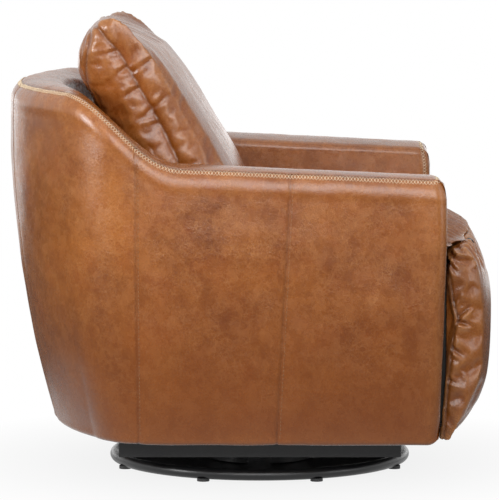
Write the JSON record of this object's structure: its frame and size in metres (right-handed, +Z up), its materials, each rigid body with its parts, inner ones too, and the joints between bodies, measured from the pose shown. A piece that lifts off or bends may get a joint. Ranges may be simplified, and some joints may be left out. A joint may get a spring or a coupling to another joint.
{
  "type": "power swivel recliner",
  "caption": "Leather barrel armchair on a round swivel base; an electric drive slides the seat forward, raises the footrest and lays the cushioned back down.",
  "frame": {"origin": "on the swivel axis at floor level", "axes": "+Z up, the chair faces -Y, its own right side is at -X"},
  "size_m": [0.901, 0.9404, 0.8943],
  "materials": {
    "leather": "waxed tan leather with mottled wear",
    "ply": "raw plywood",
    "black_steel": "semi-gloss black powder coat",
    "bright_steel": "zinc plated",
    "black_plastic": "moulded",
    "webbing": "woven",
    "panel": "satin",
    "button": "gloss"
  },
  "bodies": {
    "base": {"base_ring": "black_steel", "base_glides": "black_plastic", "base_spokes": "black_steel", "base_pan": "black_steel", "swivel_lower_plate": "black_steel", "bearing_lower_race": "bright_steel", "bearing_balls": "bright_steel", "king_pin": "bright_steel", "base_bolts": "bright_steel"},
    "chassis": {"bearing_upper_race": "bright_steel", "swivel_upper_plate": "black_steel", "chassis_long_tubes": "black_steel", "chassis_cross_tubes": "black_steel", "side_plates": "black_steel", "side_plate_feet": "black_steel", "seat_tracks": "black_steel", "arm_blocks": "ply", "front_rail": "ply", "rear_rail": "black_steel", "cam_plates": "black_steel", "arm_panels": "ply", "back_panel": "ply", "right_arm": "leather", "left_arm": "leather", "outer_back": "leather", "actuator_gearbox": "black_plastic", "actuator_stand": "black_plastic", "actuator_motor": "black_plastic", "actuator_tube": "bright_steel", "power_supply": "black_plastic", "power_inlet": "black_plastic", "control_panel": "panel"},
    "seat": {"seat_side_tubes": "black_steel", "seat_cross_tubes": "black_steel", "seat_rails": "black_steel", "slide_blocks": "black_plastic", "seat_springs": "webbing", "footrest_ears": "black_steel", "crank_hangers": "black_steel", "back_hinge_brackets": "black_steel", "seat_cushion": "leather"},
    "footrest": {"footrest_pad": "leather", "footrest_board": "ply", "footrest_lugs": "black_steel", "footrest_brackets": "black_steel"},
    "crank": {"crank_shaft": "bright_steel", "crank_levers": "black_steel", "drive_levers": "black_steel"},
    "coupler": {"coupler_bars": "black_steel"},
    "push_rod": {"drive_rod": "bright_steel", "drive_yoke": "bright_steel"},
    "back": {"back_torque_tube": "black_steel", "back_posts": "black_steel", "back_crossbars": "black_steel", "back_webbing": "webbing", "cam_levers": "black_steel", "back_cushion": "leather"},
    "open_button": {"open_button": "button"},
    "close_button": {"close_button": "button"}
  },
  "joints": [
    {"name": "swivel", "type": "hinge", "parent": "base", "child": "chassis", "pos_m": [0, 0, 0.04], "axis": [0, 0, 1], "continuous": true},
    {"name": "seat_slide", "type": "slide", "parent": "chassis", "child": "seat", "axis": [0, -1, 0], "range_m": [0, 0.15]},
    {"name": "footrest_swing", "type": "hinge", "parent": "seat", "child": "footrest", "pos_m": [0, -0.403, 0.452], "axis": [-1, 0, 0], "range_deg": [0, 80]},
    {"name": "crank_turn", "type": "hinge", "parent": "seat", "child": "crank", "pos_m": [0, -0.18, 0.3], "axis": [-1, 0, 0], "range_deg": [0, 80]},
    {"name": "coupler_turn", "type": "hinge", "parent": "crank", "child": "coupler", "pos_m": [0, -0.105, 0.19], "axis": [-1, 0, 0], "range_deg": [-80, 0]},
    {"name": "rod_slide", "type": "slide", "parent": "chassis", "child": "push_rod", "axis": [0, -1, 0], "range_m": [0, 0.27856]},
    {"name": "back_tilt", "type": "hinge", "parent": "seat", "child": "back", "pos_m": [0, 0.165, 0.352], "axis": [-1, 0, 0], "range_deg": [0, 16]},
    {"name": "open_press", "type": "slide", "parent": "chassis", "child": "open_button", "axis": [-1, 0, 0], "range_m": [0, 0.0015], "stiffness_N_per_m": 400},
    {"name": "close_press", "type": "slide", "parent": "chassis", "child": "close_button", "axis": [-1, 0, 0], "range_m": [0, 0.0015], "stiffness_N_per_m": 400}
  ],
  "couplings": [
    {"joint": "footrest_swing", "follows": "seat_slide", "rad_per_m": 9.3084},
    {"joint": "crank_turn", "follows": "seat_slide", "rad_per_m": 9.3084},
    {"joint": "coupler_turn", "follows": "seat_slide", "rad_per_m": -9.3084},
    {"joint": "rod_slide", "follows": "seat_slide", "ratio": 1.8571},
    {"joint": "back_tilt", "follows": "seat_slide", "rad_per_m": 1.8617}
  ]
}
